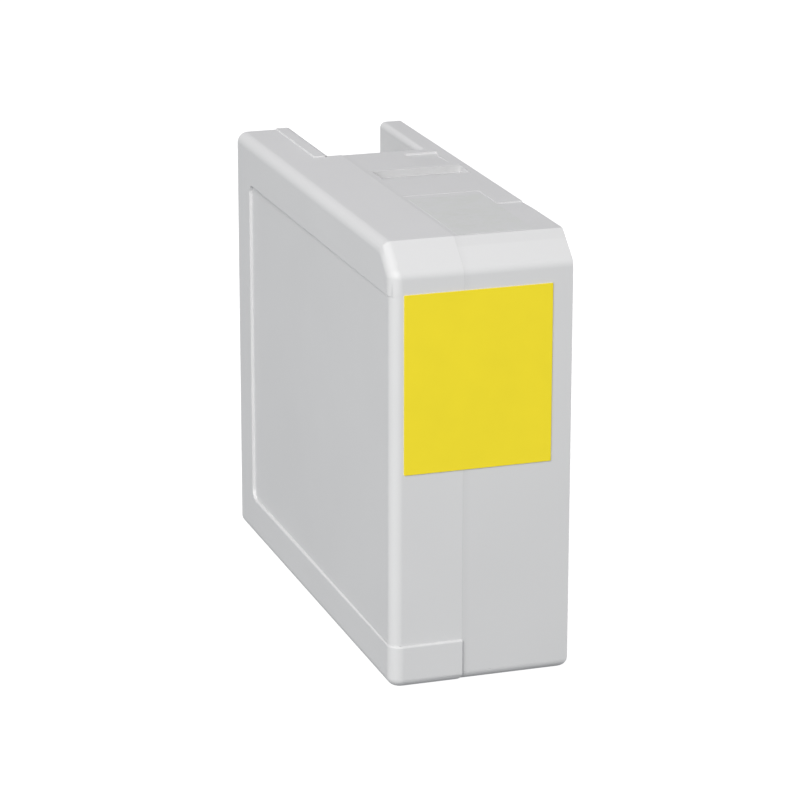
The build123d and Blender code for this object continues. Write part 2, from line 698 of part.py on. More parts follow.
with BuildPart() as case_body:
    add(envelope.part)
    split(bisect_by=Plane.YZ.offset(SEAM_X + SEAM_GAP), keep=Keep.TOP)
    # The inner part of the wall meets the cover; the outer skin stands back by a hairline gap.
    prism_x(
        cavity_outline(
            HEIGHT - SEAM_SKIN, SEAM_SKIN, FRONT + SEAM_SKIN, BACK - SEAM_SKIN, SEAM_SKIN
        ),
        SEAM_X,
        SEAM_X + 1,
    )
    add(notch_space.part, mode=Mode.SUBTRACT)
    add(body_cavity.part, mode=Mode.SUBTRACT)
    add(top_ramps.part, mode=Mode.SUBTRACT)
    add(rear_step.part, mode=Mode.SUBTRACT)
    # Rounded top edges on the right and front of the notch
    fillet(case_body.edges().filter_by(is_notch_side), radius=NOTCH_SIDE_LIP)
    fillet(case_body.edges().filter_by(is_notch_lip), radius=NOTCH_FRONT_LIP)
    # Ledge inside the parting line and the chamber rim that stands on it
    prism_x(
        cavity_outline(HEIGHT - BODY_TOP_WALL, BEVEL_WALL, FRONT + SKIN, RIM_BACK, SKIN),
        SEAM_X,
        SEAM_X + LEDGE,
    )
    prism_x(rim_outline(0), RIM_X, SEAM_X + LEDGE)
    # Bulkhead between the chamber and the rear compartment
    block(
        SEAM_X,
        RIGHT - SKIN,
        RIM_BACK - INNER_WALL,
        RIM_BACK,
        SKIN,
        HEIGHT - BODY_TOP_WALL,
    )
    prism_x(rim_outline(INNER_WALL), RIM_X - 1, RIGHT - SKIN, mode=Mode.SUBTRACT)
    # Windows for the cover's snap hooks
    for hook_y in HOOK_Y:
        for z0 in (SKIN, HEIGHT - BODY_TOP_WALL - WINDOW_HEIGHT):
            block(
                SEAM_X - 1,
                SEAM_X + LEDGE + 1,
                hook_y - HOOK_WIDTH / 2 - WINDOW_CLEAR,
                hook_y + HOOK_WIDTH / 2 + WINDOW_CLEAR,
                z0,
                z0 + WINDOW_HEIGHT,
                mode=Mode.SUBTRACT,
            )
    # Air tube from the rear face to the chamber, with a boss for its seal
    rod_y(PORT_X, AIR_Z, AIR_TUBE_RADIUS, RIM_BACK, BACK - SKIN)
    rod_y(PORT_X, AIR_Z, AIR_BOSS_RADIUS, BACK - AIR_BOSS_LENGTH, BACK - SKIN)
    rod_y(PORT_X, AIR_Z, AIR_BORE, RIM_BACK - 3, BACK + 1, mode=Mode.SUBTRACT)
    rod_y(PORT_X, AIR_Z, AIR_SEAL_RADIUS, BACK - AIR_SEAL_DEPTH, BACK + 1, mode=Mode.SUBTRACT)
    # Positioning holes: a round one below and a slot above
    rod_y(
        PORT_X,
        GUIDE_LOW_Z,
        GUIDE_RADIUS + GUIDE_WALL,
        BACK - GUIDE_DEPTH - GUIDE_WALL,
        BACK - SKIN,
    )
    rod_y(PORT_X, GUIDE_LOW_Z, GUIDE_RADIUS, BACK - GUIDE_DEPTH, BACK + 1, mode=Mode.SUBTRACT)
    with BuildSketch(Plane.XZ.offset(-(BACK - GUIDE_DEPTH - GUIDE_WALL))):
        with Locations((PORT_X, GUIDE_HIGH_Z)):
            SlotOverall(
                2 * (GUIDE_RADIUS + GUIDE_WALL) + GUIDE_SLOT_EXTRA,
                2 * (GUIDE_RADIUS + GUIDE_WALL),
                rotation=90,
            )
    extrude(amount=-(GUIDE_DEPTH + GUIDE_WALL - SKIN))
    with BuildSketch(Plane.XZ.offset(-(BACK - GUIDE_DEPTH))):
        with Locations((PORT_X, GUIDE_HIGH_Z)):
            SlotOverall(2 * GUIDE_RADIUS + GUIDE_SLOT_EXTRA, 2 * GUIDE_RADIUS, rotation=90)
    extrude(amount=-(GUIDE_DEPTH + 1), mode=Mode.SUBTRACT)
    # Hole for the supply port and a hole in the bulkhead for the pouch spout
    rod_y(PORT_X, SUPPLY_Z, SUPPLY_OUTER + CLEAR, BACK - SKIN - 1, BACK + 1, mode=Mode.SUBTRACT)
    rod_y(PACK_X, SPOUT_Z, SPOUT_RADIUS + CLEAR, RIM_BACK - 3, RIM_BACK + 1, mode=Mode.SUBTRACT)
    # Posts that hold the sensor unit off the side wall
    for post_y in (UNIT_FRONT + POST_RADIUS, UNIT_BACK - POST_RADIUS):
        for post_z in (UNIT_LOW + POST_RADIUS, UNIT_HIGH - POST_RADIUS):
            disc_x(post_y, post_z, POST_RADIUS, UNIT_RIGHT, RIGHT - SKIN)
    # Seat for the memory board, windows for its chip and terminals, and two studs
    block(
        BOARD_X - BOARD_WIDTH / 2 - CLEAR,
        BOARD_X + BOARD_WIDTH / 2 + CLEAR,
        BOARD_BACK,
        NOTCH_FRONT + 1,
        BOARD_LOW - CLEAR,
        BOARD_HIGH + CLEAR,
        mode=Mode.SUBTRACT,
    )
    block(
        CHIP_X - CHIP_SIZE / 2 - CHIP_CLEAR,
        CHIP_X + CHIP_SIZE / 2 + CHIP_CLEAR,
        BOARD_BACK - CHIP_THICK - CHIP_BACK_CLEAR,
        NOTCH_FRONT,
        CHIP_Z - CHIP_SIZE / 2 - CHIP_CLEAR,
        CHIP_Z + CHIP_SIZE / 2 + CHIP_CLEAR,
        mode=Mode.SUBTRACT,
    )
    block(
        TERMINAL_X - TERMINAL_CLEAR,
        TERMINAL_X + TERMINAL_THICK + TERMINAL_CLEAR,
        NOTCH_FRONT - NOTCH_FRONT_WALL - 1,
        NOTCH_FRONT,
        TERMINAL_WINDOW_LOW,
        TERMINAL_WINDOW_HIGH,
        mode=Mode.SUBTRACT,
    )
    for stud_z in STUDS_Z:
        rod_y(BOARD_X, stud_z, STUD_RADIUS, NOTCH_FRONT - STUD_LENGTH, NOTCH_FRONT)
        rod_y(
            BOARD_X,
            stud_z,
            STUD_HEAD_RADIUS,
            NOTCH_FRONT - BOARD_SINK,
            NOTCH_FRONT + STUD_HEAD_HEIGHT,
        )
save(case_body, "case_body")

# ---- Labels ------------------------------------------------------------------------
with BuildPart() as colour_label:
    with BuildSketch(Plane.XZ.offset(-FRONT)):
        with Locations((LABEL_LEFT + LABEL_WIDTH / 2, LABEL_LOW + LABEL_HEIGHT / 2)):
            RectangleRounded(LABEL_WIDTH, LABEL_HEIGHT, LABEL_CORNER)
    extrude(amount=LABEL_THICK)
save(colour_label, "colour_label")

with BuildPart() as top_label:
    with BuildSketch(Plane.XY.offset(HEIGHT - LABEL_AREA_DEPTH)):
        with Locations((TOP_LABEL_X, TOP_LABEL_Y)):
            RectangleRounded(TOP_LABEL_WIDTH, TOP_LABEL_LENGTH, LABEL_CORNER)
    extrude(amount=TOP_LABEL_THICK)
save(top_label, "top_label")

# ---- Film welded over the chamber rim ----------------------------------------------
with BuildPart() as sealing_film:
    prism_x(rim_outline(FILM_INSET), RIM_X - FILM_THICK, RIM_X)
save(sealing_film, "sealing_film")

# ---- Ink pouch and its spout -------------------------------------------------------


def pouch_shape(grow):
    """Two crossed lens prisms, which leave the outline of a filled flat pouch."""
    with BuildPart(mode=Mode.PRIVATE) as pouch:
        with BuildSketch(Plane.XY.offset(WELD_LOW - grow)) as plan:
            with Locations((PACK_X, PACK_CENTRE_Y)):
                Ellipse(PACK_HALF_X + grow, PACK_HALF_Y + grow)
        extrude(plan.sketch, amount=WELD_HIGH - WELD_LOW + 2 * grow)
        with BuildSketch(Plane.XZ.offset(-WELD_FRONT + grow)) as front_view:
            with Locations((PACK_X, PACK_CENTRE_Z)):
                Ellipse(PACK_HALF_X + grow, PACK_HALF_Z + grow)
        extrude(
            front_view.sketch,
            amount=-(WELD_BACK - WELD_FRONT + 2 * grow),
            mode=Mode.INTERSECT,
        )
    return pouch.part


pouch_body = pouch_shape(0)
pouch_room = pouch_shape(SOFT_CLEAR)

with BuildPart() as ink_pack:
    add(pouch_body)
    block(
        PACK_X - WELD_THICK / 2,
        PACK_X + WELD_THICK / 2,
        WELD_FRONT,
        WELD_BACK,
        WELD_LOW,
        WELD_HIGH,
    )
    block(
        PACK_X - SPOUT_RADIUS,
        PACK_X + SPOUT_RADIUS,
        BOAT_FRONT - SOFT_CLEAR,
        WELD_BACK + 1,
        SPOUT_Z - BOAT_HALF_Z - SOFT_CLEAR,
        SPOUT_Z + BOAT_HALF_Z + SOFT_CLEAR,
        mode=Mode.SUBTRACT,
    )
save(ink_pack, "ink_pack")

with BuildPart() as pack_spout:
    # Boat-shaped section that the pouch films are welded to
    with BuildSketch(Plane.XZ.offset(-BOAT_FRONT)):
        with BuildLine():
            ThreePointArc(
                (PACK_X, SPOUT_Z - BOAT_HALF_Z),
                (PACK_X + BOAT_HALF_X, SPOUT_Z),
                (PACK_X, SPOUT_Z + BOAT_HALF_Z),
            )
            ThreePointArc(
                (PACK_X, SPOUT_Z + BOAT_HALF_Z),
                (PACK_X - BOAT_HALF_X, SPOUT_Z),
                (PACK_X, SPOUT_Z - BOAT_HALF_Z),
            )
        make_face()
    extrude(amount=-(WELD_BACK - BOAT_FRONT))
    rod_y(PACK_X, SPOUT_Z, SPOUT_RADIUS, WELD_BACK, RIM_BACK)
    rod_y(
        PACK_X,
        SPOUT_Z,
        SPOUT_FLANGE_RADIUS,
        RIM_BACK - INNER_WALL - SPOUT_FLANGE - CLEAR,
        RIM_BACK - INNER_WALL - CLEAR,
    )
    rod_y(PACK_X, SPOUT_Z, SPOUT_BORE, BOAT_FRONT - 1, RIM_BACK + 1, mode=Mode.SUBTRACT)
    rod_y(
        PACK_X,
        SPOUT_Z,
        SPOUT_SEAL_RADIUS,
        SPOUT_SEAT_Y,
        RIM_BACK + 1,
        mode=Mode.SUBTRACT,
    )
save(pack_spout, "pack_spout")

with BuildPart() as spout_seal:
    rod_y(PACK_X, SPOUT_Z, SPOUT_SEAL_RADIUS, SPOUT_SEAT_Y, SPOUT_SEAT_Y + SPOUT_SEAL_LENGTH)
    rod_y(PACK_X, SPOUT_Z, INLET_RADIUS, SPOUT_SEAT_Y - 1, RIM_BACK, mode=Mode.SUBTRACT)
    chamfer(
        spout_seal.edges().filter_by(GeomType.CIRCLE).group_by(Axis.Y)[-1],
        length=SPOUT_SEAL_EDGE,
    )
save(spout_seal, "spout_seal")

# ---- Spacers that hold the two ends of the pouch -----------------------------------
with BuildPart() as front_spacer:
    block(
        RIM_X + CLEAR,
        RIGHT - SKIN - CLEAR,
        RIM_FRONT + INNER_WALL + CLEAR,
        RIM_FRONT + INNER_WALL + SPACER_LENGTH,
        SPACER_LOW,
        SPACER_HIGH,
    )
    add(pouch_room, mode=Mode.SUBTRACT)
    block(
        PACK_X - WELD_THICK / 2 - SOFT_CLEAR,
        PACK_X + WELD_THICK / 2 + SOFT_CLEAR,
        WELD_FRONT - SOFT_CLEAR,
        0,
        SPACER_LOW - 1,
        SPACER_HIGH + 1,
        mode=Mode.SUBTRACT,
    )
save(front_spacer, "front_spacer")

with BuildPart() as rear_spacer:
    block(
        RIM_X + CLEAR,
        RIGHT - SKIN - CLEAR,
        WELD_BACK + SOFT_CLEAR + REAR_WEB - SPACER_LENGTH,
        WELD_BACK + SOFT_CLEAR + REAR_WEB,
        SPACER_LOW,
        SPACER_HIGH,
    )
    add(pouch_room, mode=Mode.SUBTRACT)
    block(
        PACK_X - WELD_THICK / 2 - SOFT_CLEAR,
        PACK_X + WELD_THICK / 2 + SOFT_CLEAR,
        0,
        WELD_BACK + SOFT_CLEAR,
        SPACER_LOW - 1,
        SPACER_HIGH + 1,
        mode=Mode.SUBTRACT,
    )
    block(
        PACK_X - SPOUT_RADIUS - SOFT_CLEAR,
        PACK_X + SPOUT_RADIUS + SOFT_CLEAR,
        0,
        WELD_BACK + SOFT_CLEAR,
        SPOUT_Z - BOAT_HALF_Z - 1,
        SPOUT_Z + BOAT_HALF_Z + 1,
        mode=Mode.SUBTRACT,
    )
    rod_y(PACK_X, SPOUT_Z, SPOUT_RADIUS + CLEAR, 0, RIM_BACK, mode=Mode.SUBTRACT)
save(rear_spacer, "rear_spacer")

# ---- Ink-end sensor unit -----------------------------------------------------------
with BuildPart() as sensor_base:
    block(UNIT_LEFT, UNIT_RIGHT, UNIT_FRONT, UNIT_BACK, UNIT_LOW, UNIT_HIGH)
    fillet(sensor_base.edges().filter_by(Axis.X), radius=UNIT_CORNER)
    # Inlet tube that enters the spout, and the cell under the film
    rod_y(PACK_X, SPOUT_Z, INLET_RADIUS, SPOUT_SEAT_Y + CLEAR, UNIT_FRONT + 1)
    disc_x(CELL_Y, CELL_Z, CELL_RADIUS, UNIT_LEFT - 1, UNIT_LEFT + CELL_DEPTH, mode=Mode.SUBTRACT)
    rod_y(PACK_X, SPOUT_Z, INLET_BORE, SPOUT_SEAT_Y - 1, CELL_Y, mode=Mode.SUBTRACT)
    # Outlet to the supply port, below the cell
    disc_x(CELL_Y, SUPPLY_Z, OUTLET_BORE, UNIT_LEFT + 1, PORT_X, mode=Mode.SUBTRACT)
    rod_y(PORT_X, SUPPLY_Z, OUTLET_BORE, CELL_Y, UNIT_BACK + 1, mode=Mode.SUBTRACT)
    # Seat for the piezo sensor, with two flow holes to the cell
    block(
        UNIT_RIGHT - SENSOR_THICK,
        UNIT_RIGHT + 1,
        CELL_Y - SENSOR_SIZE / 2,
        CELL_Y + SENSOR_SIZE / 2,
        CELL_Z - SENSOR_SIZE / 2,
        CELL_Z + SENSOR_SIZE / 2,
        mode=Mode.SUBTRACT,
    )
    for hole_y in (CELL_Y - SENSOR_HOLE_PITCH / 2, CELL_Y + SENSOR_HOLE_PITCH / 2):
        disc_x(hole_y, CELL_Z, SENSOR_HOLE, UNIT_LEFT, UNIT_RIGHT, mode=Mode.SUBTRACT)
save(sensor_base, "sensor_base")

with BuildPart() as sensor_film:
    disc_x(CELL_Y, CELL_Z, CUP_RADIUS, UNIT_LEFT - MEMBRANE_THICK, UNIT_LEFT)
save(sensor_film, "sensor_film")

PLATE_FACE = UNIT_LEFT - MEMBRANE_THICK
with BuildPart() as pressure_plate:
    disc_x(CELL_Y, CELL_Z, PLATE_RADIUS, PLATE_FACE - PLATE_THICK, PLATE_FACE)
    fillet(pressure_plate.edges().filter_by(GeomType.CIRCLE), radius=PLATE_EDGE)
    disc_x(
        CELL_Y,
        CELL_Z,
        PLATE_BOSS,
        PLATE_FACE - PLATE_THICK - PLATE_BOSS_LENGTH,
        PLATE_FACE - PLATE_THICK / 2,
    )
save(pressure_plate, "pressure_plate")

with BuildPart() as sensor_cover:
    disc_x(CELL_Y, CELL_Z, CUP_RADIUS, CUP_END_X, PLATE_FACE)
    fillet(
        sensor_cover.edges().filter_by(GeomType.CIRCLE).sort_by(Axis.X)[0],
        radius=CUP_EDGE,
    )
    disc_x(
        CELL_Y,
        CELL_Z,
        CUP_RADIUS - CUP_WALL,
        CUP_END_X + CUP_WALL,
        PLATE_FACE + 1,
        mode=Mode.SUBTRACT,
    )
    # Centring peg for the spring, and a vent hole
    disc_x(CELL_Y, CELL_Z, PLATE_BOSS, CUP_END_X, CUP_END_X + CUP_WALL + PLATE_BOSS_LENGTH)
    disc_x(
        CELL_Y + VENT_OFFSET,
        CELL_Z,
        VENT_RADIUS,
        CUP_END_X - 1,
        CUP_END_X + CUP_WALL + 1,
        mode=Mode.SUBTRACT,
    )
save(sensor_cover, "sensor_cover")


def coil_spring(start, direction, length, radius, wire, turns):
    """A round-wire compression spring that just clears the faces at its two ends."""
    free = length - wire - 2 * SPRING_GAP
    first = start + direction * (wire / 2 + SPRING_GAP)
    with BuildPart(mode=Mode.PRIVATE) as coil:
        with BuildLine() as path:
            Helix(
                pitch=free / turns,
                height=free,
                radius=radius,
                center=tuple(first),
                direction=tuple(direction),
            )
        with BuildSketch(Plane(origin=path.line @ 0, z_dir=path.line % 0)) as section:
            Circle(wire / 2)
        sweep(section.sketch, path=path.line, is_frenet=True)
    return coil.part


sensor_coil = coil_spring(
    Vector(CUP_END_X + CUP_WALL, CELL_Y, CELL_Z),
    Vector(1, 0, 0),
    PLATE_FACE - PLATE_THICK - CUP_END_X - CUP_WALL,
    SENSOR_SPRING_RADIUS,
    SENSOR_SPRING_WIRE,
    SENSOR_SPRING_TURNS,
)
with BuildPart() as sensor_spring:
    add(sensor_coil)
save(sensor_spring, "sensor_spring")

with BuildPart() as piezo_sensor:
    block(
        UNIT_RIGHT - SENSOR_THICK,
        UNIT_RIGHT,
        CELL_Y - SENSOR_SIZE / 2 + CLEAR / 2,
        CELL_Y + SENSOR_SIZE / 2 - CLEAR / 2,
        CELL_Z - SENSOR_SIZE / 2 + CLEAR / 2,
        CELL_Z + SENSOR_SIZE / 2 - CLEAR / 2,
    )
save(piezo_sensor, "piezo_sensor")

# Two sheet-metal strips from the sensor to the back of the memory board
TERMINAL_ROUTES = [
    [
        (CELL_Y - TERMINAL_SPREAD, CELL_Z),
        (CELL_Y - TERMINAL_SPREAD, TERMINAL_BEND_Z),
        (TERMINAL_FRONT_Y, TERMINAL_BEND_Z + 5.0),
        (TERMINAL_FRONT_Y, TERMINAL_HIGH_Z),
        (BOARD_BACK, TERMINAL_HIGH_Z),
    ],
    [
        (CELL_Y + TERMINAL_SPREAD, CELL_Z),
        (CELL_Y + TERMINAL_SPREAD, TERMINAL_BEND_Z + 0.8),
        (TERMINAL_BACK_Y, TERMINAL_BEND_Z + 7.2),
        (TERMINAL_BACK_Y, TERMINAL_LOW_Z),
        (BOARD_BACK, TERMINAL_LOW_Z),
    ],
]
with BuildPart() as sensor_terminals:
    for route in TERMINAL_ROUTES:
        with BuildSketch(Plane.YZ.offset(TERMINAL_X)):
            with BuildLine():
                Polyline(*route)
            trace(line_width=TERMINAL_WIDE)
        extrude(amount=TERMINAL_THICK)
save(sensor_terminals, "sensor_terminals")

# ---- Memory board ------------------------------------------------------------------
with BuildPart() as memory_board:
    block(
        BOARD_X - BOARD_WIDTH / 2,
        BOARD_X + BOARD_WIDTH / 2,
        BOARD_BACK,
        NOTCH_FRONT - BOARD_SINK,
        BOARD_LOW,
        BOARD_HIGH,
    )
    for stud_z in STUDS_Z:
        rod_y(
            BOARD_X,
            stud_z,
            STUD_RADIUS + STUD_CLEAR,
            BOARD_BACK - 1,
            NOTCH_FRONT + 1,
            mode=Mode.SUBTRACT,
        )
save(memory_board, "memory_board")

with BuildPart() as contact_pads:
    for row_z, count in ((PAD_UPPER_Z, 4), (PAD_LOWER_Z, 5)):
        for index in range(count):
            pad_x = BOARD_X + (index - (count - 1) / 2) * PAD_PITCH
            block(
                pad_x - PAD_WIDTH / 2,
                pad_x + PAD_WIDTH / 2,
                NOTCH_FRONT - BOARD_SINK,
                NOTCH_FRONT - BOARD_SINK + PAD_THICK,
                row_z - PAD_HEIGHT / 2,
                row_z + PAD_HEIGHT / 2,
            )
save(contact_pads, "contact_pads")

with BuildPart() as memory_chip:
    block(
        CHIP_X - CHIP_SIZE / 2,
        CHIP_X + CHIP_SIZE / 2,
        BOARD_BACK - CHIP_THICK,
        BOARD_BACK,
        CHIP_Z - CHIP_SIZE / 2,
        CHIP_Z + CHIP_SIZE / 2,
    )
    chamfer(memory_chip.edges().group_by(Axis.Y)[0], length=CHIP_EDGE)
save(memory_chip, "memory_chip")

# ---- Supply port with its seal, valve and spring -----------------------------------
with BuildPart() as supply_port:
    rod_y(PORT_X, SUPPLY_Z, SUPPLY_OUTER, UNIT_BACK, BACK - CAP_THICK)
    rod_y(
        PORT_X,
        SUPPLY_Z,
        SUPPLY_BORE,
        UNIT_BACK + INNER_WALL,
        BACK + 1,
        mode=Mode.SUBTRACT,
    )
    rod_y(PORT_X, SUPPLY_Z, OUTLET_BORE, UNIT_BACK - 1, BACK, mode=Mode.SUBTRACT)
save(supply_port, "supply_port")

with BuildPart() as port_cap:
    rod_y(PORT_X, SUPPLY_Z, SUPPLY_OUTER, BACK - CAP_THICK, BACK)
    rod_y(PORT_X, SUPPLY_Z, CAP_BORE, BACK - CAP_THICK - 1, BACK + 1, mode=Mode.SUBTRACT)
    chamfer(
        port_cap.edges().filter_by(GeomType.CIRCLE).group_by(Axis.Y)[-1].sort_by(SortBy.RADIUS)[0],
        length=CAP_EDGE,
    )
save(port_cap, "port_cap")

SEAL_FRONT = BACK - CAP_THICK - SEAL_LENGTH
with BuildPart() as supply_seal:
    rod_y(PORT_X, SUPPLY_Z, SUPPLY_BORE, SEAL_FRONT, BACK - CAP_THICK)
    rod_y(
        PORT_X,
        SUPPLY_Z,
        SUPPLY_NEEDLE_BORE,
        SEAL_FRONT - 1,
        BACK,
        mode=Mode.SUBTRACT,
    )
save(supply_seal, "supply_seal")

with BuildPart() as supply_valve:
    rod_y(
        PORT_X,
        SUPPLY_Z,
        SUPPLY_BORE - VALVE_CLEARANCE,
        SEAL_FRONT - VALVE_LENGTH,
        SEAL_FRONT,
    )
    # Flow flutes along the guide, and the spring seat behind it
    with BuildSketch(Plane.XZ.offset(-(SEAL_FRONT - VALVE_LENGTH))):
        with Locations((PORT_X, SUPPLY_Z)):
            with PolarLocations(SUPPLY_BORE, FLUTES):
                Circle(FLUTE_RADIUS)
    extrude(amount=-(VALVE_LENGTH - VALVE_HEAD), mode=Mode.SUBTRACT)
    rod_y(
        PORT_X,
        SUPPLY_Z,
        VALVE_STEM,
        SEAL_FRONT - VALVE_LENGTH - STEM_LENGTH,
        SEAL_FRONT - VALVE_LENGTH,
    )
save(supply_valve, "supply_valve")

supply_coil = coil_spring(
    Vector(PORT_X, UNIT_BACK + INNER_WALL, SUPPLY_Z),
    Vector(0, 1, 0),
    SEAL_FRONT - VALVE_LENGTH - UNIT_BACK - INNER_WALL,
    SUPPLY_SPRING_RADIUS,
    SUPPLY_SPRING_WIRE,
    SUPPLY_SPRING_TURNS,
)
with BuildPart() as supply_spring:
    add(supply_coil)
save(supply_spring, "supply_spring")

with BuildPart() as air_port_seal:
    rod_y(PORT_X, AIR_Z, AIR_SEAL_RADIUS, BACK - AIR_SEAL_DEPTH, BACK - AIR_SEAL_SINK)
    rod_y(PORT_X, AIR_Z, AIR_SEAL_BORE, BACK - AIR_SEAL_DEPTH - 1, BACK + 1, mode=Mode.SUBTRACT)
save(air_port_seal, "air_port_seal")
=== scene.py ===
"""Looks for the ink cartridge: materials, softened edges, the foil pouch, light and camera."""

import math

import bmesh
import bpy
import numpy as np
from mathutils import Matrix, Vector


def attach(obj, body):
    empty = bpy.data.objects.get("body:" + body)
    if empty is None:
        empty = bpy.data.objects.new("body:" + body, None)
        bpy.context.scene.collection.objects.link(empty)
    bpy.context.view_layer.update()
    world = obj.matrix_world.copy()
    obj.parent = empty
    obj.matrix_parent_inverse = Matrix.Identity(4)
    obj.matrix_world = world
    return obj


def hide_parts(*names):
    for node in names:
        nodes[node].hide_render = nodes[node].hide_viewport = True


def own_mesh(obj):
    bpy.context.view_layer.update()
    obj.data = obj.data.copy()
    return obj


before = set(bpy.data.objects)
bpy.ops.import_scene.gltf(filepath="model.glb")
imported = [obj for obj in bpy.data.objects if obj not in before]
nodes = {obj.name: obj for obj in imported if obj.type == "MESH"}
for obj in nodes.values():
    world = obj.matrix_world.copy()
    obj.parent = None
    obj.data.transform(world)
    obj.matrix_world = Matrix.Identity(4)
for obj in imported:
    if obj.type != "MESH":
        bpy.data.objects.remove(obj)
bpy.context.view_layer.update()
scene = bpy.context.scene

MM = 0.001

# ---- Camera ------------------------------------------------------------------------
LENS = 158.07
CAMERA_AT = Vector((-178.17, -534.93, 208.36)) * MM
CAMERA_FORWARD = Vector((0.30303, 0.90613, -0.29512))
CAMERA_ROLL = math.radians(0.08)
SHIFT_UP = -0.0004
SENSOR_WIDTH = 36.0
NEAREST = 0.01
FARTHEST = 50.0

camera_data = bpy.data.cameras.new("camera")
camera_data.lens = LENS
camera_data.sensor_width = SENSOR_WIDTH
camera_data.shift_y = SHIFT_UP
camera_data.clip_start = NEAREST
camera_data.clip_end = FARTHEST
camera = bpy.data.objects.new("camera", camera_data)
scene.collection.objects.link(camera)
turn = CAMERA_FORWARD.to_track_quat("-Z", "Y").to_matrix().to_4x4()
camera.matrix_world = Matrix.Translation(CAMERA_AT) @ turn @ Matrix.Rotation(CAMERA_ROLL, 4, "Z")
bpy.context.scene.camera = camera


# ---- Shader helpers ----------------------------------------------------------------
# Blender's noise mostly stays between these two values
NOISE_LOW = 0.3
NOISE_HIGH = 0.7


class Shader:
    """One node material, built up from small steps. Lengths are in metres."""

    def __init__(self, name):
        self.material = bpy.data.materials.new(name)
        self.material.use_nodes = True
        self.tree = self.material.node_tree
        self.tree.nodes.clear()
        self.output = self.add("ShaderNodeOutputMaterial")
        self.surface = self.add("ShaderNodeBsdfPrincipled")
        self.link(self.surface.outputs["BSDF"], self.output.inputs["Surface"])
        self.place = self.add("ShaderNodeTexCoord").outputs["Object"]

    def add(self, kind, **settings):
        """A new node of one kind."""
        made = self.tree.nodes.new(kind)
        for key, value in settings.items():
            setattr(made, key, value)
        return made

    def link(self, source, target):
        self.tree.links.new(source, target)

    def put(self, target, value):
        """Links a socket, or sets a plain value."""
        if hasattr(value, "links"):
            self.link(value, target)
        elif hasattr(target.default_value, "__len__") and len(target.default_value) == 4 and len(value) == 3:
            target.default_value = (*value, 1.0)
        else:
            target.default_value = value

    def scaled(self, size, stretch=(1, 1, 1)):
        """Object coordinates in units of size."""
        scale = self.add("ShaderNodeVectorMath", operation="MULTIPLY")
        self.link(self.place, scale.inputs[0])
        scale.inputs[1].default_value = [s / size for s in stretch]
        return scale.outputs[0]

    def noise(self, size, detail=2.0, stretch=(1, 1, 1), roughness=0.5):
        """Noise whose lumps are about size across, as a value from 0 to 1."""
        place = self.scaled(size, stretch)
        made = self.add("ShaderNodeTexNoise")
        made.inputs["Scale"].default_value = 1.0
        made.inputs["Detail"].default_value = detail
        made.inputs["Roughness"].default_value = roughness
        self.link(place, made.inputs["Vector"])
        return made.outputs[0]

    def cells(self, size):
        """Distance to the nearest cell's middle, for cells about size across."""
        place = self.scaled(size)
        made = self.add("ShaderNodeTexVoronoi", feature="F1")
        made.inputs["Scale"].default_value = 1.0
        self.link(place, made.inputs["Vector"])
        return made.outputs["Distance"]

    def spread(self, value, low, high, source_low=0.0, source_high=1.0, smooth=False):
        """Maps a value from its source range to low..high."""
        made = self.add("ShaderNodeMapRange")
        made.interpolation_type = "SMOOTHSTEP" if smooth else "LINEAR"
        self.link(value, made.inputs["Value"])
        made.inputs["From Min"].default_value = source_low
        made.inputs["From Max"].default_value = source_high
        made.inputs["To Min"].default_value = low
        made.inputs["To Max"].default_value = high
        return made.outputs["Result"]

    def vary(self, noise, low, high):
        """Maps noise to low..high."""
        return self.spread(noise, low, high, NOISE_LOW, NOISE_HIGH)

    def maths(self, operation, first, second=0.0):
        """One step of arithmetic on values."""
        made = self.add("ShaderNodeMath", operation=operation)
        self.put(made.inputs[0], first)
        self.put(made.inputs[1], second)
        return made.outputs[0]

    def axis(self, name):
        """One object coordinate, in metres."""
        made = self.add("ShaderNodeSeparateXYZ")
        self.link(self.place, made.inputs[0])
        return made.outputs[name]

    def mix(self, factor, first, second):
        """A blend of two colours."""
        made = self.add("ShaderNodeMix", data_type="RGBA")
        self.put(made.inputs["Factor"], factor)
        self.put(made.inputs[6], first)
        self.put(made.inputs[7], second)
        return made.outputs[2]

    def tone(self, colour, factor):
        """A colour multiplied by a value."""
        made = self.add("ShaderNodeMix", data_type="RGBA", blend_type="MULTIPLY")
        made.inputs["Factor"].default_value = 1.0
        self.put(made.inputs[6], colour)
        self.link(factor, made.inputs[7])
        return made.outputs[2]

    def bump(self, height, distance, strength=1.0, under=None):
        """Relief from a value, on top of the relief given as under."""
        made = self.add("ShaderNodeBump")
        made.inputs["Distance"].default_value = distance
        made.inputs["Strength"].default_value = strength
        self.link(height, made.inputs["Height"])
        if under is not None:
            self.link(under, made.inputs["Normal"])
        return made.outputs["Normal"]

    def finish(self, **inputs):
        """Sets the surface's inputs, whose names have spaces as underscores."""
        for key, value in inputs.items():
            self.put(self.surface.inputs[key.replace("_", " ")], value)
        return self.material


def moulded(name, colour, rough=0.45, grain=0.12, mottle=0.012, tint=None, soft=0.0):
    """Moulded plastic: fine spark-eroded grain, slow flow marks and small changes of colour."""
    s = Shader(name)
    slow = s.noise(22 * MM, 2.0)
    fine = s.noise(grain * MM, 2.0)
    base = s.tone(colour, s.vary(slow, 1 - mottle, 1 + mottle))
    if tint is not None:
        base = tint(s, base)
    relief = s.bump(fine, 0.010 * MM)
    return s.finish(
        Base_Color=base,
        Roughness=s.vary(fine, rough - 0.05, rough + 0.05),
        Specular_IOR_Level=0.35,
        Normal=s.bump(s.noise(9 * MM, 1.0), 0.004 * MM, under=relief),
        Subsurface_Weight=soft,
        Subsurface_Radius=(0.9 * MM, 0.7 * MM, 0.5 * MM),
    )


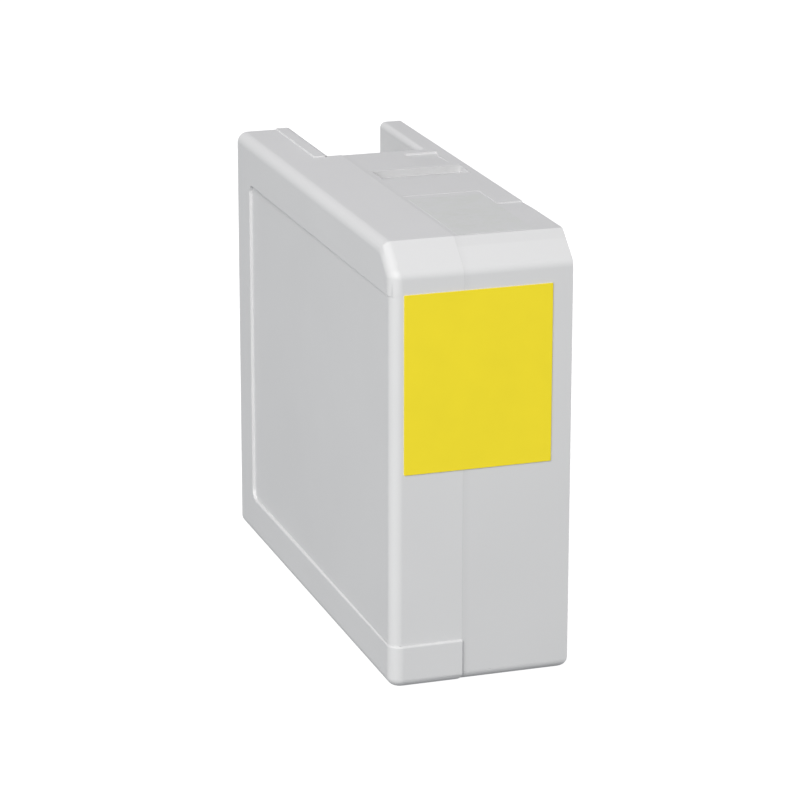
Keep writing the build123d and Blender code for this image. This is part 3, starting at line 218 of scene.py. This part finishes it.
def film(name, colour, rough=0.42, alpha=1.0, ripple=0.003, second=None):
    """Printed or clear plastic film: satin, with faint ripples; second is a colour it is mottled with."""
    s = Shader(name)
    fine = s.noise(0.5 * MM, 2.0)
    base = s.tone(colour, s.vary(s.noise(6.0 * MM, 2.0), 0.985, 1.015))
    if second is not None:
        patch = s.spread(s.noise(1.7 * MM, 3.0), 0.0, 1.0, 0.35, 0.65, smooth=True)
        base = s.mix(patch, base, second)
    return s.finish(
        Base_Color=base,
        Roughness=s.vary(fine, rough - 0.04, rough + 0.04),
        Specular_IOR_Level=0.3,
        Alpha=alpha,
        Normal=s.bump(fine, ripple * MM),
    )


def rubber(name):
    """Black rubber with a faint grey bloom."""
    s = Shader(name)
    fine = s.noise(0.16 * MM, 3.0)
    bloom = s.spread(s.noise(2.5 * MM, 3.0), 0.0, 0.35, 0.45, 0.8, smooth=True)
    return s.finish(
        Base_Color=s.mix(bloom, (0.022, 0.022, 0.024), (0.075, 0.075, 0.078)),
        Roughness=s.vary(fine, 0.52, 0.74),
        Specular_IOR_Level=0.4,
        Normal=s.bump(fine, 0.02 * MM),
    )


def metal(name, colour, rough, stretch):
    """Drawn or rolled metal: streaks along the long direction, with slight tarnish."""
    s = Shader(name)
    streak = s.noise(0.25 * MM, 3.0, stretch=stretch)
    tarnish = s.vary(s.noise(3.0 * MM, 2.0), 0.88, 1.04)
    return s.finish(
        Base_Color=s.tone(colour, tarnish),
        Metallic=1.0,
        Roughness=s.vary(streak, rough - 0.08, rough + 0.10),
        Normal=s.bump(streak, 0.006 * MM),
    )


def circuit_board(name):
    """Green solder resist over fine straight tracks, with the weave faintly showing."""
    s = Shader(name)
    phase = s.maths("MULTIPLY", s.axis("X"), 2 * math.pi / (0.9 * MM))
    across = s.spread(s.maths("SINE", phase), 0, 1, 0.2, 0.5)
    along = s.spread(s.noise(2.4 * MM, 0.0, stretch=(1, 1, 0.25)), 0, 1, 0.45, 0.55)
    track = s.maths("MULTIPLY", across, along)
    weave = s.noise(0.3 * MM, 1.0, stretch=(1, 1, 3))
    base = s.mix(track, (0.018, 0.135, 0.055), (0.035, 0.215, 0.085))
    relief = s.bump(weave, 0.01 * MM)
    return s.finish(
        Base_Color=s.tone(base, s.vary(weave, 0.94, 1.06)),
        Roughness=0.32,
        Specular_IOR_Level=0.5,
        Coat_Weight=0.3,
        Coat_Roughness=0.2,
        Normal=s.bump(track, 0.03 * MM, under=relief),
    )


def foam(name):
    """Open-cell foam: pale cell walls, with painted shade darkening the pores between them."""
    s = Shader(name)
    pore = s.cells(0.55 * MM)
    # painted shade: the colour darkens towards each cell's middle, where the pores are hollow
    wall = s.spread(pore, 0.25, 1.0, 0.1, 0.6, smooth=True)
    base = s.tone((0.15, 0.15, 0.155), s.vary(s.noise(5 * MM, 2.0), 0.9, 1.1))
    return s.finish(
        Base_Color=s.tone(base, wall),
        Roughness=0.95,
        Specular_IOR_Level=0.1,
        Normal=s.bump(pore, 0.12 * MM),
    )


def foil(name):
    """Aluminium-laminated film: satin metal with fine creases."""
    s = Shader(name)
    crease = s.noise(4.5 * MM, 4.0, roughness=0.6)
    haze = s.noise(0.6 * MM, 2.0)
    relief = s.bump(crease, 0.25 * MM, strength=0.5)
    return s.finish(
        Base_Color=s.tone((0.70, 0.71, 0.73), s.vary(s.noise(14 * MM, 2.0), 0.94, 1.04)),
        Metallic=0.85,
        Roughness=s.vary(haze, 0.22, 0.36),
        Coat_Weight=0.4,
        Coat_Roughness=0.15,
        Normal=s.bump(haze, 0.008 * MM, under=relief),
    )


SHELL = (0.68, 0.68, 0.69)
SEAM_X = -3.0 * MM
SEAM_SHADE = 0.033
SEAM_REACH = 1.4 * MM
BODY_TOP_Z = 70.5 * MM
BODY_TOP_SHADE = 0.03
BODY_LOW_SHADE = 0.968
BODY_HIGH_SHADE = 0.998
BODY_TOP_BLEND = 0.3 * MM
BODY_LOW_Z = 5 * MM
BODY_HIGH_Z = 60 * MM
POCKET_WALL_Y = 7.375 * MM
POCKET_WALL_SHADE = 0.89
POCKET_WALL_NEAR = 0.04 * MM
POCKET_WALL_FAR = 0.12 * MM


def body_tone(s, base):
    """Painted shading: the body is darker within about a millimetre of the parting line, a little darker
    on top and low down, and darkest on the latch pocket's back wall."""
    near = s.spread(s.axis("X"), 1 - SEAM_SHADE, 1.0, SEAM_X, SEAM_X + SEAM_REACH, smooth=True)
    top = s.spread(s.axis("Z"), 1.0, 1 - BODY_TOP_SHADE, BODY_TOP_Z, BODY_TOP_Z + BODY_TOP_BLEND, smooth=True)
    low = s.spread(s.axis("Z"), BODY_LOW_SHADE, BODY_HIGH_SHADE, BODY_LOW_Z, BODY_HIGH_Z)
    away = s.maths("ABSOLUTE", s.maths("SUBTRACT", s.axis("Y"), POCKET_WALL_Y))
    wall = s.spread(away, POCKET_WALL_SHADE, 1.0, POCKET_WALL_NEAR, POCKET_WALL_FAR, smooth=True)
    return s.tone(s.tone(s.tone(s.tone(base, near), top), low), wall)


NATURAL = (0.74, 0.74, 0.71)
GREY = (0.36, 0.37, 0.39)
WIRE = (6, 6, 0.6)

finishes = {
    moulded("shell_cover", SHELL): ["side_cover"],
    moulded("shell_body", SHELL, tint=body_tone): ["case_body"],
    moulded("grey_plastic", GREY, rough=0.4): ["coding_key", "port_cap", "supply_valve", "pressure_plate"],
    moulded("natural_plastic", NATURAL, rough=0.36, soft=0.12): [
        "pack_spout",
        "sensor_base",
        "sensor_cover",
        "supply_port",
    ],
    moulded("chip_epoxy", (0.03, 0.03, 0.032), rough=0.5, grain=0.06, mottle=0.05): ["memory_chip"],
    film("yellow_print", (0.912, 0.745, 0.026)): ["colour_label"],
    film("pale_print", (0.640, 0.650, 0.640), second=(0.655, 0.660, 0.665)): ["top_label"],
    film("clear_barrier", (0.86, 0.87, 0.88), rough=0.2, alpha=0.55, ripple=0.02): [
        "sealing_film",
        "sensor_film",
    ],
    rubber("black_elastomer"): ["spout_seal", "supply_seal", "air_port_seal"],
    metal("spring_wire", (0.60, 0.60, 0.62), 0.28, WIRE): ["supply_spring", "sensor_spring"],
    metal("sensor_plate", (0.72, 0.69, 0.60), 0.34, (1, 4, 4)): ["piezo_sensor"],
    metal("bronze_strip", (0.70, 0.52, 0.32), 0.3, (4, 4, 0.5)): ["sensor_terminals"],
    metal("gold_plating", (0.86, 0.62, 0.24), 0.22, (4, 4, 0.6)): ["contact_pads"],
    circuit_board("green_board"): ["memory_board"],
    foam("charcoal_foam"): ["front_spacer", "rear_spacer"],
}
for finish, names in finishes.items():
    for name in names:
        nodes[name].data.materials.clear()
        nodes[name].data.materials.append(finish)


# ---- Edge radii --------------------------------------------------------------------
# Edges left sharp: in planes of constant X or Y, where the case's halves or a shallow step meet, and
# within a reach of two corners, where rounding would leave shading faults
PLAIN_X = [SEAM_X, -2.6 * MM]
PLAIN_Y = [-10.725 * MM, 35.675 * MM]
PLAIN_SPOTS = [
    (Vector((-15.0, 33.87, 7.0)) * MM, 0.7 * MM),
    (Vector((-13.6, -42.2, 64.3)) * MM, 1.0 * MM),
]
PLAIN_TOLERANCE = 0.02 * MM
SHARP_ANGLE = math.radians(28)
EDGE_SEGMENTS = 3
WELD_REACH = 0.001 * MM


def edge_weights(angle):
    """Geometry nodes that mark the edges to round: the sharp ones, except those to leave sharp."""
    group = bpy.data.node_groups.new("edge_weights", "GeometryNodeTree")
    group.interface.new_socket("Geometry", in_out="INPUT", socket_type="NodeSocketGeometry")
    group.interface.new_socket("Geometry", in_out="OUTPUT", socket_type="NodeSocketGeometry")
    add = group.nodes.new
    link = group.links.new
    mark = add("FunctionNodeCompare")
    mark.operation = "GREATER_THAN"
    mark.inputs["B"].default_value = angle
    link(add("GeometryNodeInputMeshEdgeAngle").outputs["Unsigned Angle"], mark.inputs["A"])
    chosen = mark.outputs[0]
    position = add("GeometryNodeInputPosition").outputs[0]
    place = add("ShaderNodeSeparateXYZ")
    link(position, place.inputs[0])
    tests = []
    for axis, values in (("X", PLAIN_X), ("Y", PLAIN_Y)):
        for value in values:
            off = add("FunctionNodeCompare")
            off.operation = "NOT_EQUAL"
            off.inputs["B"].default_value = value
            off.inputs["Epsilon"].default_value = PLAIN_TOLERANCE
            link(place.outputs[axis], off.inputs["A"])
            tests.append(off)
    for centre, reach in PLAIN_SPOTS:
        gap = add("ShaderNodeVectorMath")
        gap.operation = "DISTANCE"
        link(position, gap.inputs[0])
        gap.inputs[1].default_value = centre
        off = add("FunctionNodeCompare")
        off.operation = "GREATER_THAN"
        off.inputs["B"].default_value = reach
        link(gap.outputs["Value"], off.inputs["A"])
        tests.append(off)
    for off in tests:
        both = add("FunctionNodeBooleanMath")
        both.operation = "AND"
        link(chosen, both.inputs[0])
        link(off.outputs[0], both.inputs[1])
        chosen = both.outputs[0]
    crisp = add("FunctionNodeBooleanMath")
    crisp.operation = "NIMPLY"
    link(mark.outputs[0], crisp.inputs[0])
    link(chosen, crisp.inputs[1])
    carried = add("NodeGroupInput").outputs[0]
    stored = (("bevel_weight_edge", "FLOAT", chosen), ("sharp_edge", "BOOLEAN", crisp.outputs[0]))
    for name, kind, value in stored:
        store = add("GeometryNodeStoreNamedAttribute")
        store.data_type = kind
        store.domain = "EDGE"
        store.inputs["Name"].default_value = name
        link(carried, store.inputs["Geometry"])
        link(value, store.inputs["Value"])
        carried = store.outputs[0]
    link(carried, add("NodeGroupOutput").inputs[0])
    return group


MARKER = edge_weights(SHARP_ANGLE)


def soften(target, radius):
    """Rounds the sharp edges of a CAD node by a small radius, without touching its own mesh."""
    weld = target.modifiers.new("weld", "WELD")
    weld.merge_threshold = WELD_REACH
    target.modifiers.new("edge_weights", "NODES").node_group = MARKER
    edge = target.modifiers.new("edge_radius", "BEVEL")
    edge.width = radius
    edge.segments = EDGE_SEGMENTS
    edge.limit_method = "WEIGHT"
    edge.use_clamp_overlap = False
    edge.miter_outer = "MITER_ARC"
    shade = target.modifiers.new("shading", "WEIGHTED_NORMAL")
    shade.keep_sharp = True


EDGE_RADII = {
    0.07: ["case_body", "side_cover", "coding_key", "sensor_cover", "memory_chip"],
    0.08: ["pack_spout", "supply_port", "port_cap", "supply_valve", "supply_seal", "air_port_seal"],
    0.05: ["sensor_base"],
    0.03: ["memory_board", "sensor_terminals", "piezo_sensor", "colour_label"],
    0.015: ["contact_pads", "top_label"],
}
for radius, names in EDGE_RADII.items():
    for name in names:
        soften(nodes[name], radius * MM)


# ---- Ink pouch ---------------------------------------------------------------------
# Two foil sheets welded at their edges and over the spout's boat, blown up as cloth.
POUCH_MIDDLE = Vector((1.25, -16.0, 35.2)) * MM
POUCH_HALF = Vector((10.0, 20.0, 28.0)) * MM
POUCH_LOW = Vector((0, -37.6, 5.2)) * MM
POUCH_HIGH = Vector((0, 8.4, 65.2)) * MM
WELD = 2.2 * MM
FOIL = 0.14 * MM
BOAT_Z = 24.0 * MM
BOAT_HALF_Z = 7.6 * MM
BOAT_HALF_X = 3.15 * MM
GRID_Y = 44
GRID_Z = 58
CLOTH_SCALE = 20
CLOTH_FRAMES = 24
START_BULGE = 1.5 * MM
SPARE_FOIL = 0.12
CLOTH_PRESSURE = 6
CLOTH_STIFFNESS = 60
EDGE_GAP = 0.01 * MM


def boat_half(z):
    """Half the thickness of the spout's welded part at a height, with a little room round it."""
    across = (z - BOAT_Z) / BOAT_HALF_Z
    return BOAT_HALF_X * max(0.0, 1 - across * across)


def lens_half(y, z):
    """Half the thickness of the space the pouch is given."""
    along_y = 1 - ((y - POUCH_MIDDLE.y) / POUCH_HALF.y) ** 2
    along_z = 1 - ((z - POUCH_MIDDLE.z) / POUCH_HALF.z) ** 2
    return POUCH_HALF.x * math.sqrt(max(0.0, min(along_y, along_z)))


def pouch_grid():
    """Flat grid of both sheets. Returns places, faces, the pinned points and each sheet's index table."""
    places = []
    faces = []
    pinned = []
    tables = []
    for side in (-1, 1):
        table = {}
        for i in range(GRID_Y + 1):
            for j in range(GRID_Z + 1):
                y = POUCH_LOW.y + WELD + (POUCH_HIGH.y - POUCH_LOW.y - 2 * WELD) * i / GRID_Y
                z = POUCH_LOW.z + WELD + (POUCH_HIGH.z - POUCH_LOW.z - 2 * WELD) * j / GRID_Z
                border = i in (0, GRID_Y) or j in (0, GRID_Z)
                boat = boat_half(z) if i == GRID_Y else 0.0
                if border and boat == 0 and side == 1:
                    table[i, j] = tables[0][i, j]
                    continue
                dome = START_BULGE * math.sin(math.pi * i / GRID_Y) * math.sin(math.pi * j / GRID_Z)
                table[i, j] = len(places)
                if border:
                    pinned.append(len(places))
                places.append((POUCH_MIDDLE.x + side * (dome + boat), y, z))
        tables.append(table)
        for i in range(GRID_Y):
            for j in range(GRID_Z):
                quad = [table[i, j], table[i + 1, j], table[i + 1, j + 1], table[i, j + 1]]
                faces.append(quad if side == 1 else quad[::-1])
    return places, faces, pinned, tables


def blown_up(places, faces, pinned):
    """The places of the points after a cloth simulation under pressure, run at an enlarged scale."""
    mesh = bpy.data.meshes.new("pouch_cloth")
    mesh.from_pydata([tuple(c * CLOTH_SCALE for c in place) for place in places], [], faces)
    made = bpy.data.objects.new("pouch_cloth", mesh)
    scene.collection.objects.link(made)
    held = made.vertex_groups.new(name="held")
    held.add(pinned, 1.0, "REPLACE")
    cloth = made.modifiers.new("cloth", "CLOTH")
    settings = cloth.settings
    settings.quality = 8
    settings.mass = 0.3
    settings.tension_stiffness = CLOTH_STIFFNESS
    settings.compression_stiffness = CLOTH_STIFFNESS
    settings.shear_stiffness = CLOTH_STIFFNESS / 2
    settings.bending_stiffness = 0.1
    settings.shrink_min = -SPARE_FOIL
    settings.use_pressure = True
    settings.uniform_pressure_force = CLOTH_PRESSURE
    settings.vertex_group_mass = "held"
    settings.effector_weights.gravity = 0
    cloth.collision_settings.use_collision = False
    for step in range(1, CLOTH_FRAMES + 1):
        scene.frame_set(step)
    shaped = made.evaluated_get(bpy.context.evaluated_depsgraph_get())
    result = [tuple(v.co / CLOTH_SCALE) for v in shaped.data.vertices]
    bpy.data.objects.remove(made)
    scene.frame_set(1)
    return result


def stretched_to_weld(places):
    """The points as an array, with their Y and Z stretched to the inner edge of the weld."""
    cloud = np.array(places)
    low, high = cloud.min(0), cloud.max(0)
    inner_low = np.array(POUCH_LOW) + WELD
    inner_high = np.array(POUCH_HIGH) - WELD
    for axis in (1, 2):
        share = (cloud[:, axis] - low[axis]) / (high[axis] - low[axis])
        cloud[:, axis] = inner_low[axis] + share * (inner_high[axis] - inner_low[axis])
    return cloud


def pouch_half(x, y, z, fill):
    """Half the pouch's thickness at a point: as blown up, inside its space and round the boat."""
    half = abs(x - POUCH_MIDDLE.x) * fill
    half = min(half, max(lens_half(y, z) - FOIL, 0))
    near = min(1.0, max(0.0, (y - POUCH_MIDDLE.y) / POUCH_HALF.y))
    return max(half, boat_half(z) * near * near, EDGE_GAP)


def weld_border(shape, points, loop):
    """The outer edge of one sheet's weld, one weld's width outside the grid's border."""
    outer = []
    for i, j in loop:
        x, y, z = points[i, j].co
        if i in (0, GRID_Y):
            y += WELD if i else -WELD
        if j in (0, GRID_Z):
            z += WELD if j else -WELD
        outer.append(shape.verts.new((x, y, z)))
    return outer


def pouch_mesh():
    """Both sheets of the pouch, with their welds."""
    places, faces, pinned, tables = pouch_grid()
    places = blown_up(places, faces, pinned)
    cloud = stretched_to_weld(places)
    fill = (POUCH_HALF.x - FOIL) / max(abs(cloud[:, 0] - POUCH_MIDDLE.x))
    loop = [(i, 0) for i in range(GRID_Y)] + [(GRID_Y, j) for j in range(GRID_Z)]
    loop += [(i, GRID_Z) for i in range(GRID_Y, 0, -1)] + [(0, j) for j in range(GRID_Z, 0, -1)]
    shape = bmesh.new()
    for side, table in zip((-1, 1), tables):
        points = {}
        for (i, j), index in table.items():
            x, y, z = cloud[index]
            half = pouch_half(x, y, z, fill)
            points[i, j] = shape.verts.new((POUCH_MIDDLE.x + side * half, y, z))
        outer = weld_border(shape, points, loop)
        quads = []
        for i in range(GRID_Y):
            for j in range(GRID_Z):
                quads.append([points[i, j], points[i + 1, j], points[i + 1, j + 1], points[i, j + 1]])
        for here in range(len(loop)):
            after = (here + 1) % len(loop)
            quads.append([outer[here], outer[after], points[loop[after]], points[loop[here]]])
        for quad in quads:
            face = shape.faces.new(quad if side == 1 else quad[::-1])
            face.smooth = True
    mesh = bpy.data.meshes.new("foil_pouch")
    shape.to_mesh(mesh)
    shape.free()
    return mesh


pouch = bpy.data.objects.new("foil_pouch", pouch_mesh())
scene.collection.objects.link(pouch)
pouch.data.materials.append(foil("pouch_laminate"))
film_thickness = pouch.modifiers.new("film", "SOLIDIFY")
film_thickness.thickness = FOIL
film_thickness.offset = 1
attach(pouch, "case")
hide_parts("ink_pack")


# ---- Springs, copied from their own shapes -----------------------------------------
def shortening_spring(node):
    """A copy of the spring's own shape, attached to the case in place of the spring."""
    coil = bpy.data.objects.new(node + "_coil", nodes[node].data.copy())
    coil.matrix_world = nodes[node].matrix_world.copy()
    scene.collection.objects.link(coil)
    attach(coil, "case")
    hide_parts(node)
    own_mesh(coil)


shortening_spring("supply_spring")
shortening_spring("sensor_spring")


# ---- Light and floor ---------------------------------------------------------------
scene.view_settings.view_transform = "Standard"
SKY_UPPER = (0.279, 0.277, 0.296)
SKY_LOWER = (0.428, 0.444, 0.456)
SKY_BLUR = 0.35
NADIR_SHARE = 0.35
NADIR_START = -0.95
NADIR_END = -0.5
AIM = Vector((0, 0, 0.036))


def sky(upper, lower):
    """Soft light from all round: one tone from above the horizon, another from below, and dimmer
    towards straight below."""
    world = bpy.data.worlds.new("studio")
    world.use_nodes = True
    scene.world = world
    tree = world.node_tree
    towards = tree.nodes.new("ShaderNodeTexCoord")
    parts = tree.nodes.new("ShaderNodeSeparateXYZ")
    rise = tree.nodes.new("ShaderNodeMapRange")
    rise.interpolation_type = "SMOOTHSTEP"
    rise.inputs["From Min"].default_value = -SKY_BLUR
    rise.inputs["From Max"].default_value = SKY_BLUR
    blend = tree.nodes.new("ShaderNodeMix")
    blend.data_type = "RGBA"
    blend.inputs[6].default_value = (*lower, 1.0)
    blend.inputs[7].default_value = (*upper, 1.0)
    tree.links.new(towards.outputs["Generated"], parts.inputs[0])
    tree.links.new(parts.outputs["Z"], rise.inputs["Value"])
    tree.links.new(rise.outputs["Result"], blend.inputs["Factor"])
    tree.links.new(blend.outputs[2], tree.nodes["Background"].inputs["Color"])
    under = tree.nodes.new("ShaderNodeMapRange")
    under.interpolation_type = "SMOOTHSTEP"
    under.inputs["From Min"].default_value = NADIR_START
    under.inputs["From Max"].default_value = NADIR_END
    under.inputs["To Min"].default_value = NADIR_SHARE
    under.inputs["To Max"].default_value = 1.0
    tree.links.new(parts.outputs["Z"], under.inputs["Value"])
    tree.links.new(under.outputs["Result"], tree.nodes["Background"].inputs["Strength"])


def softbox(name, towards, distance, size, power, colour=(1, 1, 1)):
    """A round soft light that faces the object from the given direction."""
    data = bpy.data.lights.new(name, "AREA")
    data.shape = "DISK"
    data.size = size
    data.energy = power
    data.color = colour
    lamp = bpy.data.objects.new(name, data)
    scene.collection.objects.link(lamp)
    towards = Vector(towards).normalized()
    lamp.location = AIM + towards * distance
    lamp.rotation_euler = (-towards).to_track_quat("-Z", "Y").to_euler()
    lamp.visible_camera = False


sky(SKY_UPPER, SKY_LOWER)
KEY_COLOUR = (1.0, 1.0, 0.966)
softbox("key_light", (-0.535, -0.62, 0.59), distance=1.6, size=1.4, power=27.9, colour=KEY_COLOUR)
softbox("fill_light", (0.75, 0.66, -0.27), distance=1.6, size=0.8, power=12.0)
softbox("back_light", (0.1, 0.6, 1.0), distance=0.9, size=0.9, power=1.15)


def emitter(name, strength, diffuse):
    """A glowing surface, seen from its front only; diffuse is how much of the lights it adds."""
    material = bpy.data.materials.new(name)
    material.use_nodes = True
    tree = material.node_tree
    tree.nodes.clear()
    output = tree.nodes.new("ShaderNodeOutputMaterial")
    glow = tree.nodes.new("ShaderNodeEmission")
    glow.inputs["Strength"].default_value = strength
    matte = tree.nodes.new("ShaderNodeBsdfDiffuse")
    matte.inputs["Color"].default_value = (diffuse, diffuse, diffuse, 1)
    both = tree.nodes.new("ShaderNodeAddShader")
    tree.links.new(glow.outputs[0], both.inputs[0])
    tree.links.new(matte.outputs[0], both.inputs[1])
    clear = tree.nodes.new("ShaderNodeBsdfTransparent")
    side = tree.nodes.new("ShaderNodeNewGeometry")
    chosen = tree.nodes.new("ShaderNodeMixShader")
    tree.links.new(side.outputs["Backfacing"], chosen.inputs["Fac"])
    tree.links.new(both.outputs[0], chosen.inputs[1])
    tree.links.new(clear.outputs[0], chosen.inputs[2])
    tree.links.new(chosen.outputs[0], output.inputs["Surface"])
    return material


def backdrop(name, mesh_maker, material):
    """A surface that the camera sees, and that lights nothing and casts no shadow."""
    mesh = bpy.data.meshes.new(name)
    shape = bmesh.new()
    mesh_maker(shape)
    shape.to_mesh(mesh)
    shape.free()
    made = bpy.data.objects.new(name, mesh)
    scene.collection.objects.link(made)
    made.data.materials.append(material)
    made.visible_diffuse = False
    made.visible_glossy = False
    made.visible_transmission = False
    made.visible_shadow = False


FLOOR_HALF = 4.0
DOME_RADIUS = 6.0


def floor_plane(shape):
    bmesh.ops.create_grid(shape, x_segments=2, y_segments=2, size=FLOOR_HALF)


def sky_dome(shape):
    bmesh.ops.create_icosphere(shape, subdivisions=4, radius=DOME_RADIUS)
    bmesh.ops.reverse_faces(shape, faces=shape.faces)


backdrop("floor", floor_plane, emitter("floor_white", 0.9, 0.3))
backdrop("dome", sky_dome, emitter("dome_white", 1.05, 0.0))
